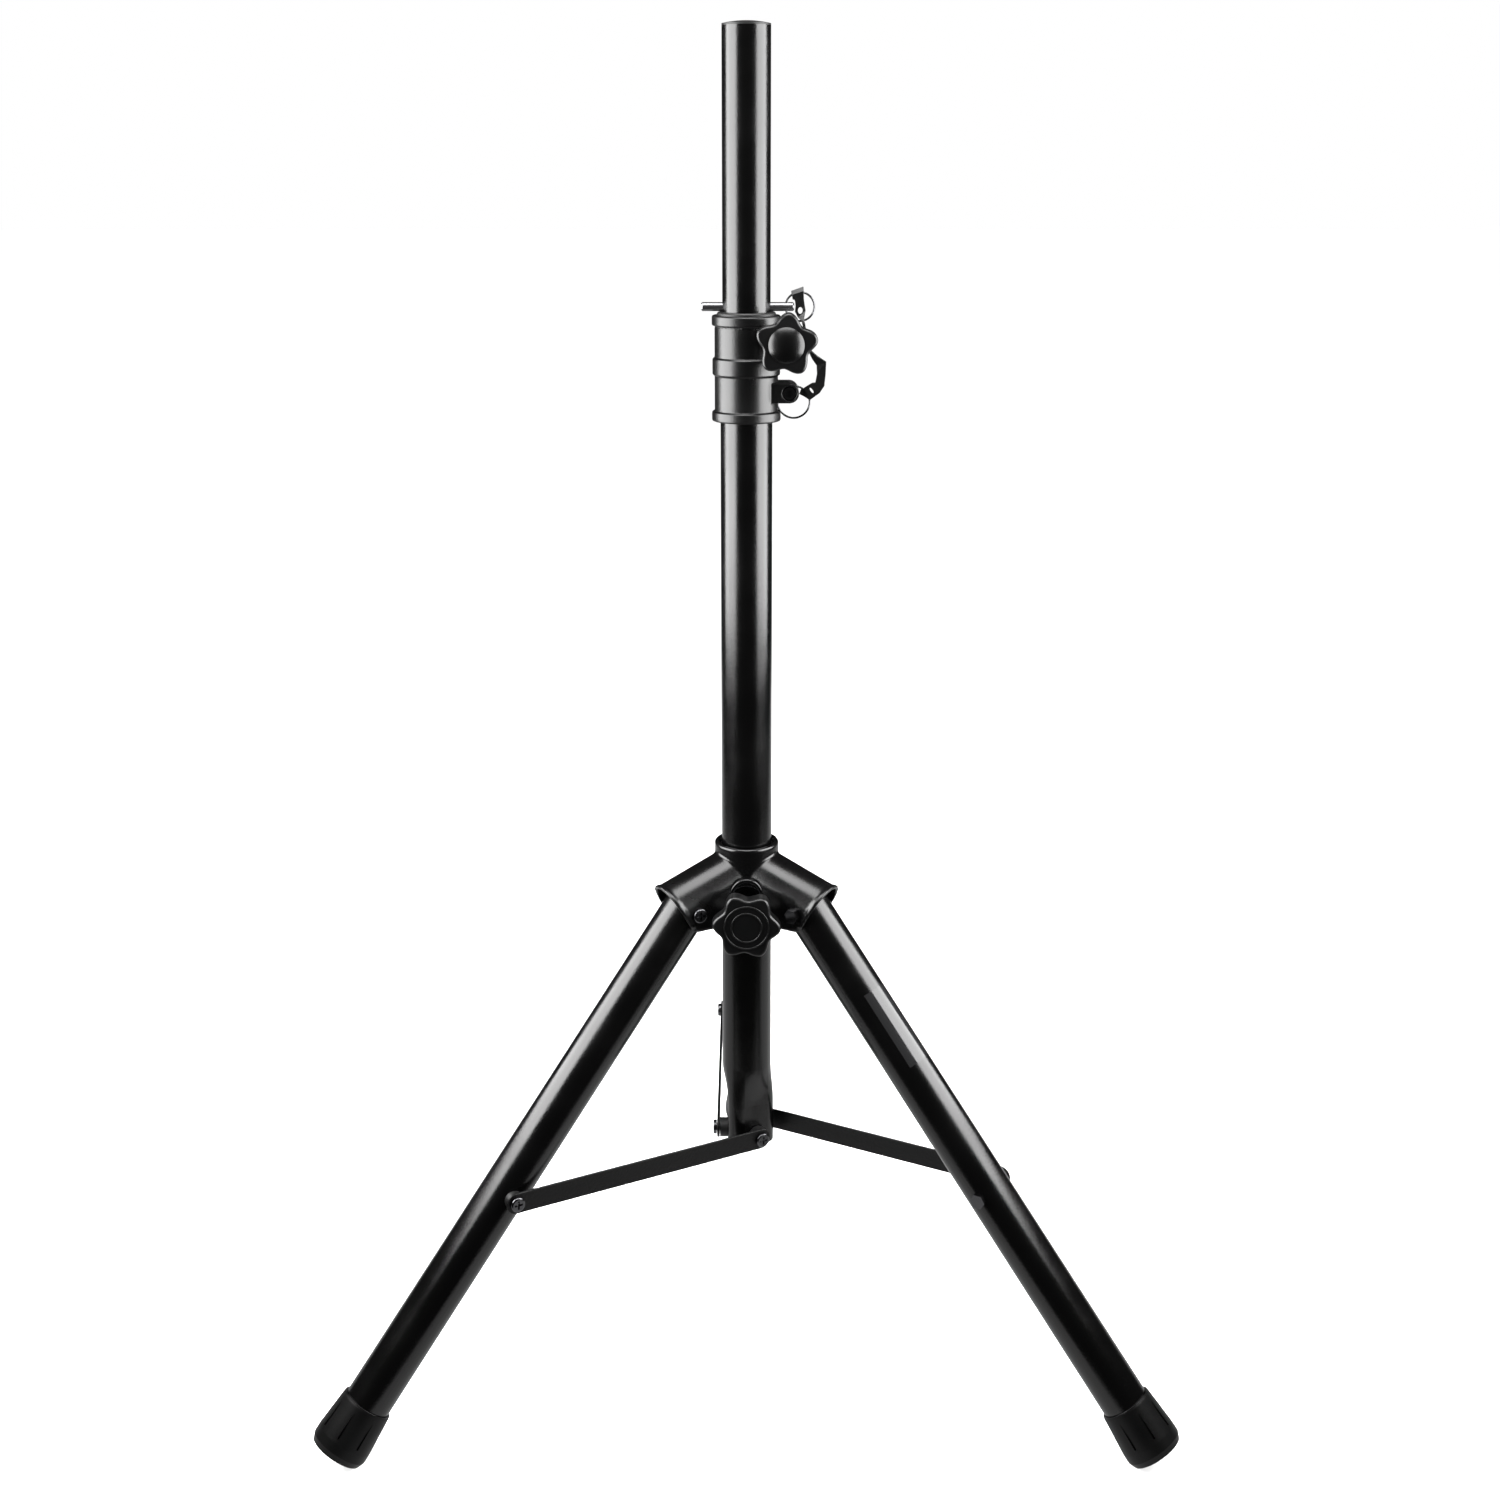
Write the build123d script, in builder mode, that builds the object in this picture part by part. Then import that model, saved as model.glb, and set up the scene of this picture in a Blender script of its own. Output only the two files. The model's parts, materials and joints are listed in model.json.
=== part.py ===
"""Speaker tripod stand: a 35 mm mast that slides in a 38 mm pole, with three folding legs.

Millimetres, +Z up. The origin is on the floor, on the pole's axis. The front is at -Y, with one
leg at the back (azimuth 90) and two at the front (azimuths 210 and 330). The stand is drawn open,
with the mast at its lowest setting and its lock pin in the top hole.
"""
import os
from math import atan2, cos, degrees, hypot, radians, sin, tan

from build123d import *

os.makedirs("parts", exist_ok=True)

# ---- driving dimensions -------------------------------------------------------------------------
LEG_AZIMUTHS = {"left": 210, "right": 330, "rear": 90}

# mast and pole
MAST_R = 17.5
MAST_WALL = 1.5
MAST_TOP_Z = 1020.9
MAST_BOTTOM_Z = 240.0
CAP_FLANGE = 1.4
CAP_RISE = 3.4
CAP_PLUG = 15.0
FOOT_PLUG_R = 17.7
FOOT_PLUG_HANG = 6.0
FOOT_PLUG_DEPTH = 22.0
FOOT_PLUG_BORE_R = 13.0
POLE_R = 19.0
POLE_WALL = 1.2
POLE_BOTTOM_Z = 168.0
POLE_TOP_Z = 777.5
PINCH_START_Z = 234.0
PINCH_END_Z = 202.0
PINCH_CORNER_CENTRE_R = 12.0
PINCH_CORNER_R = 9.0
PINCH_HOLLOW = 0.6
PIN_HOLE_R = 3.6
PIN_HOLE_PITCH = 75.0
PIN_HOLE_COUNT = 7

# collar that clamps the mast
COLLAR_BOTTOM_Z = 741.7
COLLAR_TOP_Z = 818.6
COLLAR_BODY_R = 23.2
COLLAR_RIM_R = 25.2
COLLAR_BAND_R = 24.8
COLLAR_BOTTOM_RIM_TOP_Z = 749.1
COLLAR_BAND_BOTTOM_Z = 775.2
COLLAR_BAND_TOP_Z = 787.8
COLLAR_TOP_RIM_BOTTOM_Z = 811.0
COLLAR_GROOVE = 0.9
COLLAR_BORE_R = 19.9
COLLAR_EDGE_R = 1.3
COLLAR_RIM_OVERLAP = 2.0
SLIT_HALF = 3.0
SLIT_START_X = 15.0
SLIT_LENGTH = 40.0
EAR_ROOT_X = 12.0
EAR_FRONT_Y = -15.0
LOWER_EAR_X = 31.2
LOWER_EAR_Z = 763.0
LOWER_EAR_R = 7.1
UPPER_EAR_X = 28.4
UPPER_EAR_Z = 800.2
UPPER_EAR_R = 9.0
COLLAR_BOLT_R = 2.4
COLLAR_BOLT_LENGTH = 30.0
COLLAR_HEAD_R = 4.9
COLLAR_HEAD_HEIGHT = 3.6
COUNTERBORE_R = 5.4
COUNTERBORE_DEPTH = 4.6
COLLAR_NUT_FLATS = 9.0
COLLAR_NUT_THICK = 4.0
CLAMP_NUT_THICK = 6.5
BUSH_BORE_R = 17.6
BUSH_FLANGE_R = 21.4
BUSH_FLANGE_TOP_Z = 820.8
BUSH_CHAMFER = 0.8

# lock pin, its ring and its tether
PIN_R = 3.25
PIN_Z = 824.6
PIN_LEFT_X = -32.8
PIN_RIGHT_X = 34.6
PIN_CHAMFER = 0.9
PIN_RING_X = 28.4
PIN_RING_PLAY = 0.3
PIN_RING_HOLE_R = 1.4
RING_WIRE_R = 0.75
PIN_RING_R = 10.4
TETHER_RING_R = 11.7
TETHER_RING_SIDE = 3.4
TETHER_RING_DROP = 7.7
STRAP_THICK = 1.4
STRAP_WIDTH = 6.2
STRAP_FRONT_Y = -2.5
STRAP_ROUTE = [
    (37.6, 835.5),
    (38.8, 822.0),
    (41.5, 808.0),
    (47.2, 791.5),
    (55.4, 783.0),
    (52.8, 768.0),
    (44.4, 761.0),
]
STRAP_SLOT = (38.7, 823.0)
STRAP_SLOT_HALF = (1.6, 2.6)

# hub that carries the legs
HUB_TOP_Z = 418.0
HUB_BOTTOM_Z = 360.0
HUB_RING_R = 24.5
HUB_BORE_R = 21.0
HUB_BUSH_R = 19.1
HUB_BUSH_RECESS = 4.0
HUB_EDGE_R = 1.6
ARM_R = 20.5
ARM_WALL = 2.0
ARM_SLOPE = 19.6
ARM_AXIS_R = 21.1
ARM_AXIS_Z = 389.7
ARM_END_TOP = (75.0, 392.3)
ARM_END_BOTTOM = (57.5, 360.0)
ARM_LIP = 3.2
ARM_LIP_PROUD = 0.9
ARM_CORNER_R = 5.0
ARM_LIP_LOW = 5.0
BOSS_R = 16.8
BOSS_Z = 376.5
BOSS_FRONT_Y = -30.0
BOSS_WALL = 2.6

# legs
LEG_R = 17.5
LEG_WALL = 1.5
LEG_ANGLE = 38.84
APEX_Z = 439.0
LEG_PIVOT = 83.9
LEG_HEAD = 9.0
SOLE_R = 19.5
FOOT_LENGTH = 40.0
FOOT_TOP_R = 19.0
FOOT_BELLY_R = 21.5
FOOT_LIP = 0.3
FOOT_SOLE_THICK = 8.0
FOOT_GROOVES = 8
GROOVE_START = 6.0
GROOVE_LENGTH = 20.0
GROOVE_WIDTH = 1.6
GROOVE_MIDDLE_R = 21.1
FOOT_BELLY_AT = 0.72
SOLE_EDGE = 4.5

# braces
BRACE_BOTTOM_Z = 177.4
BRACE_REACH = 207.13
BRACE_WIDTH = 16.0
BRACE_THICK = 2.0
BRACE_SIDE = 21.5
BRACE_CHAMFER = 0.3
POLE_HOLE_DEPTH = 16.5

# fasteners and clearances
M6_R = 3.0
M8_R = 4.0
M8_NUT_FLATS = 13.0
PAN_HEAD_R = 5.6
PAN_HEAD_HEIGHT = 2.8
RECESS_WIDTH = 1.5
RECESS_DEPTH = 1.6
PIVOT_NUT_FLATS = 10.0
PIVOT_NUT_THICK = 5.0
INNER_NUT_FLATS = 8.0
INNER_NUT_THICK = 4.0
INNER_BOLT_CLEAR = 8.0
SPACER_R = 7.5
SADDLE_R = 7.0
BOLT_OVER = 3.5
WELD_NUT_THICK = 5.0
CLAMP_SCREW_PROUD = 9.0
SHOE_BACK_Y = -19.4
SHOE_THICK = 2.2
SHOE_R = 4.3
RUN = 0.08
GAP = 0.3

# knobs
HUB_KNOB_Z = 370.2
HUB_KNOB_FRONT_Y = -60.0
HUB_KNOB_BACK_Y = -47.5
HUB_KNOB_NECK_Y = -31.5
HUB_KNOB_NECK_R = 13.5
HUB_KNOB_LOBES = 6
HUB_KNOB_VALLEY_R = 20.6
HUB_KNOB_TIP_R = 25.6
HUB_KNOB_TURNED = -3.5
HUB_KNOB_RIDGES = (11.3, 16.5)
RIDGE_HALF = 0.5
CLAMP_KNOB_FRONT_Y = -41.0
CLAMP_KNOB_BACK_Y = -28.2
CLAMP_KNOB_NECK_Y = -17.1
CLAMP_KNOB_NECK_R = 9.0
CLAMP_KNOB_LOBES = 5
CLAMP_KNOB_VALLEY_R = 17.0
CLAMP_KNOB_TIP_R = 22.7
CLAMP_KNOB_TURNED = 12.5
KNOB_FRONT_EDGE = 2.2
KNOB_BACK_EDGE = 2.0
SCREW_DEPTH = 0.6
DOME_R = 12.8
DOME_EDGE = 0.8
DOME_RISE = 4.6
WASHER_THICK = 1.4
WASHER_R = 8.3

# ---- values worked out from them ----------------------------------------------------------------
LEG_SIN = sin(radians(LEG_ANGLE))
LEG_COS = cos(radians(LEG_ANGLE))
LEG_END = (APEX_Z - SOLE_R * LEG_SIN) / LEG_COS
PIVOT_R = LEG_PIVOT * LEG_SIN
PIVOT_Z = APEX_Z - LEG_PIVOT * LEG_COS
BRACE_TOP_ALONG = BRACE_REACH / LEG_SIN
BRACE_TOP_Z = APEX_Z - BRACE_TOP_ALONG * LEG_COS
BRACE_RISE = degrees(atan2(BRACE_TOP_Z - BRACE_BOTTOM_Z, BRACE_REACH))
BRACE_LENGTH = hypot(BRACE_REACH, BRACE_TOP_Z - BRACE_BOTTOM_Z)
BRACE_OUTSIDE = BRACE_SIDE + BRACE_THICK
PIN_HOLES_Z = [PIN_Z - PIN_HOLE_PITCH * k for k in range(PIN_HOLE_COUNT)]
MAST_IN_R = MAST_R - MAST_WALL
LEG_IN_R = LEG_R - LEG_WALL


# ---- planes -------------------------------------------------------------------------------------
def outward(azimuth):
    """Level direction of a leg."""
    return Vector(cos(radians(azimuth)), sin(radians(azimuth)), 0)


def sideways(azimuth):
    """Level direction across a leg, which its bolts follow."""
    return Vector(-sin(radians(azimuth)), cos(radians(azimuth)), 0)


def front_plane(y, x=0.0, z=0.0):
    """Upright plane that faces the front: local x is +X, local y is +Z."""
    return Plane(origin=(x, y, z), x_dir=(1, 0, 0), z_dir=(0, -1, 0))


def side_plane(azimuth, side, r=0.0, z=0.0, rise=0.0):
    """Plane across a leg's bolts: local x is outward and rises, extrusion goes inward."""
    origin = outward(azimuth) * r + sideways(azimuth) * side + Vector(0, 0, z)
    along = outward(azimuth) * cos(radians(rise)) + Vector(0, 0, sin(radians(rise)))
    return Plane(origin=origin, x_dir=along, z_dir=sideways(azimuth) * -1)


def leg_plane(azimuth, along):
    """Plane square to a leg, at a distance down its axis: extrusion goes towards the foot."""
    down = outward(azimuth) * LEG_SIN - Vector(0, 0, LEG_COS)
    origin = Vector(0, 0, APEX_Z) + down * along
    return Plane(origin=origin, x_dir=sideways(azimuth), z_dir=down)


def arm_plane(azimuth):
    """Plane square to a hub arm where its axis starts: extrusion goes down the arm."""
    slope = radians(ARM_SLOPE)
    down = outward(azimuth) * cos(slope) - Vector(0, 0, sin(slope))
    start_z = ARM_AXIS_Z + ARM_AXIS_R * tan(slope)
    return Plane(origin=(0, 0, start_z), x_dir=sideways(azimuth), z_dir=down)


# ---- shapes used more than once -----------------------------------------------------------------
def finish(part, name):
    """Label a piece and write its file."""
    part.part.label = name
    export_step(part.part, f"parts/{name}.step")


def turned(plane, points):
    """Solid of revolution: points are (radius, height) along the plane's normal."""
    with BuildPart() as piece:
        with BuildSketch(Plane(origin=plane.origin, x_dir=plane.x_dir, z_dir=plane.y_dir * -1)):
            with BuildLine():
                Polyline(*points, close=True)
            make_face()
        revolve(axis=Axis(plane.origin, plane.z_dir))
    return piece


def rod(plane, radius, length):
    """Plain round bar that starts on a plane."""
    with BuildPart() as piece:
        with BuildSketch(plane):
            Circle(radius)
        extrude(amount=length)
    return piece


def ring(plane, outer_r, inner_r, length):
    """Washer, spacer or sleeve that starts on a plane."""
    with BuildPart() as piece:
        with BuildSketch(plane):
            Circle(outer_r)
            Circle(inner_r, mode=Mode.SUBTRACT)
        extrude(amount=length)
    return piece


def dome_middle(radius, rise):
    """Point half way out on a dome that starts level on its axis: (radius, drop from its top)."""
    sphere_r = (radius**2 + rise**2) / (2 * rise)
    half = radius / 2
    return half, sphere_r - (sphere_r**2 - half**2) ** 0.5


def hex_nut(plane, across_flats, hole_r, length):
    """Hexagon nut that starts on a plane."""
    with BuildPart() as piece:
        with BuildSketch(plane):
            RegularPolygon(radius=across_flats / 2, side_count=6, major_radius=False)
            Circle(hole_r, mode=Mode.SUBTRACT)
        extrude(amount=length)
    return piece


def pan_screw(plane, shank_r, shank_length):
    """Pan-head screw with a cross recess: the head stands on the plane, the shank goes back."""
    with BuildPart() as piece:
        with BuildSketch(plane):
            Circle(PAN_HEAD_R)
        extrude(amount=PAN_HEAD_HEIGHT)
        rim = piece.faces().sort_by(Axis(plane.origin, plane.z_dir))[-1].edges()
        fillet(rim, PAN_HEAD_HEIGHT * 0.45)
        with BuildSketch(plane.offset(PAN_HEAD_HEIGHT)):
            Rectangle(PAN_HEAD_R * 1.15, RECESS_WIDTH)
            Rectangle(RECESS_WIDTH, PAN_HEAD_R * 1.15)
        extrude(amount=-RECESS_DEPTH, mode=Mode.SUBTRACT)
        with BuildSketch(plane):
            Circle(shank_r)
        extrude(amount=-shank_length)
    return piece


def socket_screw(plane, shank_r, shank_length, head_r, head_height):
    """Socket-head screw: the head stands on the plane, the shank goes back."""
    with BuildPart() as piece:
        with BuildSketch(plane):
            Circle(head_r)
        extrude(amount=head_height)
        rim = piece.faces().sort_by(Axis(plane.origin, plane.z_dir))[-1].edges()
        fillet(rim, 0.5)
        with BuildSketch(plane.offset(head_height)):
            RegularPolygon(radius=head_r * 0.5, side_count=6, major_radius=False)
        extrude(amount=-head_height * 0.6, mode=Mode.SUBTRACT)
        with BuildSketch(plane):
            Circle(shank_r)
        extrude(amount=-shank_length)
    return piece


def grouped(pieces):
    """Several separate solids kept as one part."""
    with BuildPart() as group:
        for piece in pieces:
            add(piece.part)
    return group


def back_of(plane):
    """The same plane turned to face the other way."""
    return Plane(origin=plane.origin, x_dir=plane.x_dir, z_dir=plane.z_dir * -1)


# ---- pole ---------------------------------------------------------------------------------------
def pole_arcs(pinch, wall):
    """Outline of the pole as arcs: round at pinch 0, a rounded triangle with hollow flats at 1."""
    corner_r = PINCH_CORNER_R - wall
    tangent_x = PINCH_CORNER_CENTRE_R + corner_r * cos(radians(60))
    tangent_y = corner_r * sin(radians(60))
    round_r = POLE_R - wall
    flat = PINCH_CORNER_CENTRE_R * cos(radians(60)) + corner_r - PINCH_HOLLOW
    join_r = round_r + (hypot(tangent_x, tangent_y) - round_r) * pinch
    corner = round_r + (PINCH_CORNER_CENTRE_R + corner_r - round_r) * pinch
    middle = round_r + (flat - round_r) * pinch
    half = degrees(atan2(tangent_y, tangent_x))
    arcs = []
    for azimuth in (0, 120, 240):
        arcs.append([(join_r, azimuth - half), (corner, azimuth), (join_r, azimuth + half)])
        arcs.append([(join_r, azimuth + half), (middle, azimuth + 60), (join_r, azimuth + 120 - half)])
    return [[(r * cos(radians(a)), r * sin(radians(a))) for r, a in arc] for arc in arcs]


def pole_solid(wall):
    """Full solid inside the pole's outline, less a wall thickness."""
    steps = 4
    with BuildPart() as solid:
        for step in range(steps + 1):
            share = step / steps
            pinch = share * share * (3 - 2 * share)
            height = PINCH_START_Z + (PINCH_END_Z - PINCH_START_Z) * share
            with BuildSketch(Plane.XY.offset(height)):
                with BuildLine():
                    for start, middle, end in pole_arcs(pinch, wall):
                        ThreePointArc(start, middle, end)
                make_face()
        loft()
        with BuildSketch(Plane.XY.offset(POLE_BOTTOM_Z)):
            with BuildLine():
                for start, middle, end in pole_arcs(1, wall):
                    ThreePointArc(start, middle, end)
            make_face()
        extrude(amount=PINCH_END_Z - POLE_BOTTOM_Z)
        with BuildSketch(Plane.XY.offset(PINCH_START_Z)):
            Circle(POLE_R - wall)
        extrude(amount=POLE_TOP_Z - PINCH_START_Z)
    return solid


pole_inside = pole_solid(POLE_WALL)
pole_outside = pole_solid(0)
with BuildPart() as pole:
    add(pole_outside.part)
    add(pole_inside.part, mode=Mode.SUBTRACT)
    for azimuth in LEG_AZIMUTHS.values():
        with BuildSketch(side_plane(azimuth, BRACE_SIDE, 0, BRACE_BOTTOM_Z)):
            Circle(M6_R + RUN)
        extrude(amount=POLE_HOLE_DEPTH, mode=Mode.SUBTRACT)
finish(pole, "outer_tube")

FLAT_SIDE = PINCH_CORNER_CENTRE_R * cos(radians(60)) + PINCH_CORNER_R
spacers = []
inner_bolts = []
inner_nuts = []
for azimuth in LEG_AZIMUTHS.values():
    spacer_outside = side_plane(azimuth, BRACE_SIDE - GAP, 0, BRACE_BOTTOM_Z)
    spacers.append(ring(spacer_outside, SPACER_R, M6_R + RUN, BRACE_SIDE - GAP - FLAT_SIDE))
    head_seat = back_of(side_plane(azimuth, BRACE_OUTSIDE + GAP, 0, BRACE_BOTTOM_Z))
    inner_bolts.append(pan_screw(head_seat, M6_R, BRACE_OUTSIDE + GAP - INNER_BOLT_CLEAR))
    nut_seat = side_plane(azimuth, FLAT_SIDE - PINCH_HOLLOW - POLE_WALL, 0, BRACE_BOTTOM_Z)
    inner_nuts.append(hex_nut(nut_seat, INNER_NUT_FLATS, M6_R, INNER_NUT_THICK))
finish(grouped(spacers), "brace_spacers")
finish(grouped(inner_bolts), "pole_brace_bolts")
finish(grouped(inner_nuts), "pole_brace_nuts")

# ---- collar on the pole -------------------------------------------------------------------------
with BuildPart() as collar:
    for low, high, radius in (
        (COLLAR_BOTTOM_Z, COLLAR_BOTTOM_RIM_TOP_Z, COLLAR_RIM_R),
        (COLLAR_BAND_BOTTOM_Z, COLLAR_BAND_TOP_Z, COLLAR_BAND_R),
        (COLLAR_TOP_RIM_BOTTOM_Z, COLLAR_TOP_Z, COLLAR_RIM_R),
    ):
        with BuildSketch(Plane.XY.offset(low)):
            Circle(radius)
        extrude(amount=high - low)
    fillet(collar.edges().filter_by(GeomType.CIRCLE), COLLAR_EDGE_R)
    with BuildSketch(Plane.XY.offset(COLLAR_BOTTOM_Z + COLLAR_RIM_OVERLAP)):
        Circle(COLLAR_BODY_R)
    extrude(amount=COLLAR_TOP_Z - COLLAR_BOTTOM_Z - 2 * COLLAR_RIM_OVERLAP)
    for low in (
        COLLAR_BOTTOM_RIM_TOP_Z,
        COLLAR_BAND_BOTTOM_Z - COLLAR_GROOVE,
        COLLAR_BAND_TOP_Z,
        COLLAR_TOP_RIM_BOTTOM_Z - COLLAR_GROOVE,
    ):
        with BuildSketch(Plane.XY.offset(low)):
            Circle(COLLAR_BODY_R + 1)
            Circle(COLLAR_BODY_R - COLLAR_GROOVE, mode=Mode.SUBTRACT)
        extrude(amount=COLLAR_GROOVE, mode=Mode.SUBTRACT)
    for ear_x, ear_z, ear_r in (
        (LOWER_EAR_X, LOWER_EAR_Z, LOWER_EAR_R),
        (UPPER_EAR_X, UPPER_EAR_Z, UPPER_EAR_R),
    ):
        with BuildSketch(front_plane(-EAR_FRONT_Y)):
            with Locations((ear_x, ear_z)):
                Circle(ear_r)
                Rectangle(ear_x - EAR_ROOT_X, 2 * ear_r, align=(Align.MAX, Align.CENTER))
        extrude(amount=-2 * EAR_FRONT_Y)
    with BuildSketch(Plane.XY.offset(COLLAR_BOTTOM_Z)):
        Circle(COLLAR_BORE_R)
    extrude(amount=COLLAR_TOP_Z - COLLAR_BOTTOM_Z, mode=Mode.SUBTRACT)
    with BuildSketch(Plane.XY.offset(COLLAR_BOTTOM_Z)):
        with Locations((SLIT_START_X, 0)):
            Rectangle(SLIT_LENGTH, 2 * SLIT_HALF, align=(Align.MIN, Align.CENTER))
    extrude(amount=COLLAR_TOP_Z - COLLAR_BOTTOM_Z, mode=Mode.SUBTRACT)
    with Locations(front_plane(EAR_FRONT_Y, LOWER_EAR_X, LOWER_EAR_Z)):
        CounterBoreHole(COLLAR_BOLT_R + RUN, COUNTERBORE_R, COUNTERBORE_DEPTH, depth=-2 * EAR_FRONT_Y)
    with Locations(front_plane(EAR_FRONT_Y, UPPER_EAR_X, UPPER_EAR_Z)):
        Hole(M8_R + RUN, depth=-2 * EAR_FRONT_Y)
finish(collar, "collar")

with BuildPart() as pole_liner:
    with BuildSketch(Plane.XY.offset(COLLAR_BOTTOM_Z)):
        Circle(COLLAR_BORE_R)
        Circle(POLE_R, mode=Mode.SUBTRACT)
        with Locations((SLIT_START_X, 0)):
            Rectangle(10, 2 * SLIT_HALF, align=(Align.MIN, Align.CENTER), mode=Mode.SUBTRACT)
    extrude(amount=POLE_TOP_Z - COLLAR_BOTTOM_Z)
finish(pole_liner, "pole_liner")

with BuildPart() as bush:
    with BuildSketch(Plane.XY.offset(POLE_TOP_Z)):
        Circle(COLLAR_BORE_R)
    extrude(amount=COLLAR_TOP_Z - POLE_TOP_Z)
    with BuildSketch(Plane.XY.offset(COLLAR_TOP_Z)):
        Circle(BUSH_FLANGE_R)
    extrude(amount=BUSH_FLANGE_TOP_Z - COLLAR_TOP_Z)
    chamfer(bush.faces().sort_by(Axis.Z)[-1].edges(), BUSH_CHAMFER)
    with BuildSketch(Plane.XY.offset(POLE_TOP_Z)):
        Circle(BUSH_BORE_R)
        with Locations((SLIT_START_X, 0)):
            Rectangle(10, SLIT_HALF, align=(Align.MIN, Align.CENTER))
    extrude(amount=BUSH_FLANGE_TOP_Z - POLE_TOP_Z, mode=Mode.SUBTRACT)
finish(bush, "mast_bush")

collar_bolt = socket_screw(
    front_plane(EAR_FRONT_Y + COUNTERBORE_DEPTH, LOWER_EAR_X, LOWER_EAR_Z),
    COLLAR_BOLT_R,
    COLLAR_BOLT_LENGTH,
    COLLAR_HEAD_R,
    COLLAR_HEAD_HEIGHT,
)
finish(collar_bolt, "collar_bolt")
collar_nut = hex_nut(
    back_of(front_plane(-EAR_FRONT_Y, LOWER_EAR_X, LOWER_EAR_Z)),
    COLLAR_NUT_FLATS,
    COLLAR_BOLT_R,
    COLLAR_NUT_THICK,
)
finish(collar_nut, "collar_nut")
clamp_nut = hex_nut(
    back_of(front_plane(-EAR_FRONT_Y, UPPER_EAR_X, UPPER_EAR_Z)),
    M8_NUT_FLATS,
    M8_R + RUN,
    CLAMP_NUT_THICK,
)
finish(clamp_nut, "clamp_nut")

# ---- mast ---------------------------------------------------------------------------------------
with BuildPart() as mast:
    with BuildSketch(Plane.XY.offset(MAST_BOTTOM_Z)):
        Circle(MAST_R)
        Circle(MAST_IN_R, mode=Mode.SUBTRACT)
    extrude(amount=MAST_TOP_Z - MAST_BOTTOM_Z)
    with BuildSketch(Plane.YZ.offset(-MAST_R - 1)):
        with Locations(*[(0, z) for z in PIN_HOLES_Z]):
            Circle(PIN_HOLE_R)
    extrude(amount=2 * MAST_R + 2, mode=Mode.SUBTRACT)
finish(mast, "mast_tube")

cap_half, cap_drop = dome_middle(MAST_R, CAP_RISE - CAP_FLANGE)
with BuildPart() as cap:
    with BuildSketch(Plane.XZ):
        with BuildLine():
            Line((0, MAST_TOP_Z - CAP_PLUG), (MAST_IN_R, MAST_TOP_Z - CAP_PLUG))
            Line((MAST_IN_R, MAST_TOP_Z - CAP_PLUG), (MAST_IN_R, MAST_TOP_Z))
            Line((MAST_IN_R, MAST_TOP_Z), (MAST_R, MAST_TOP_Z))
            Line((MAST_R, MAST_TOP_Z), (MAST_R, MAST_TOP_Z + CAP_FLANGE))
            ThreePointArc(
                (MAST_R, MAST_TOP_Z + CAP_FLANGE),
                (cap_half, MAST_TOP_Z + CAP_RISE - cap_drop),
                (0, MAST_TOP_Z + CAP_RISE),
            )
            Line((0, MAST_TOP_Z + CAP_RISE), (0, MAST_TOP_Z - CAP_PLUG))
        make_face()
    revolve(axis=Axis.Z)
finish(cap, "mast_cap")

foot_plug = turned(
    Plane.XY.offset(MAST_BOTTOM_Z),
    [
        (0, -FOOT_PLUG_HANG),
        (FOOT_PLUG_R - 0.6, -FOOT_PLUG_HANG),
        (FOOT_PLUG_R, 1 - FOOT_PLUG_HANG),
        (FOOT_PLUG_R, 0),
        (MAST_IN_R, 0),
        (MAST_IN_R, FOOT_PLUG_DEPTH),
        (FOOT_PLUG_BORE_R, FOOT_PLUG_DEPTH),
        (FOOT_PLUG_BORE_R, 0),
        (0, 0),
    ],
)
finish(foot_plug, "mast_foot_plug")

# ---- lock pin, rings and tether -----------------------------------------------------------------
with BuildPart() as pin:
    with BuildSketch(Plane(origin=(PIN_LEFT_X, 0, PIN_Z), x_dir=(0, 1, 0), z_dir=(1, 0, 0))):
        Circle(PIN_R)
    extrude(amount=PIN_RIGHT_X - PIN_LEFT_X)
    chamfer(pin.edges().filter_by(GeomType.CIRCLE), PIN_CHAMFER)
    with BuildSketch(Plane.XY.offset(PIN_Z - PIN_R - 1)):
        with Locations((PIN_RING_X + PIN_RING_PLAY, 0)):
            Circle(PIN_RING_HOLE_R)
    extrude(amount=2 * PIN_R + 2, mode=Mode.SUBTRACT)
finish(pin, "lock_pin")

with BuildPart() as pin_ring:
    with Locations(front_plane(0, PIN_RING_X + PIN_RING_R, PIN_Z)):
        Torus(PIN_RING_R, RING_WIRE_R)
finish(pin_ring, "pin_ring")

TETHER_RING_X = LOWER_EAR_X + TETHER_RING_SIDE
TETHER_RING_Z = LOWER_EAR_Z - TETHER_RING_DROP
with BuildPart() as tether_ring:
    with Locations(front_plane(0, TETHER_RING_X, TETHER_RING_Z)):
        Torus(TETHER_RING_R, RING_WIRE_R)
finish(tether_ring, "tether_ring")

with BuildPart() as strap:
    with BuildSketch(front_plane(STRAP_FRONT_Y + STRAP_THICK)):
        with BuildLine():
            Polyline(*STRAP_ROUTE)
        trace(line_width=STRAP_WIDTH)
        with Locations(STRAP_SLOT):
            Ellipse(*STRAP_SLOT_HALF, mode=Mode.SUBTRACT)
    extrude(amount=STRAP_THICK)
finish(strap, "tether_strap")

# ---- hub ----------------------------------------------------------------------------------------
END_LEAN = (ARM_END_TOP[0] - ARM_END_BOTTOM[0]) / (ARM_END_TOP[1] - ARM_END_BOTTOM[1])
PROFILE_TOP_Z = 430.0


def arm_end_r(z):
    """How far out the slanted open end of an arm is at a height."""
    return ARM_END_BOTTOM[0] + (z - ARM_END_BOTTOM[1]) * END_LEAN


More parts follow.
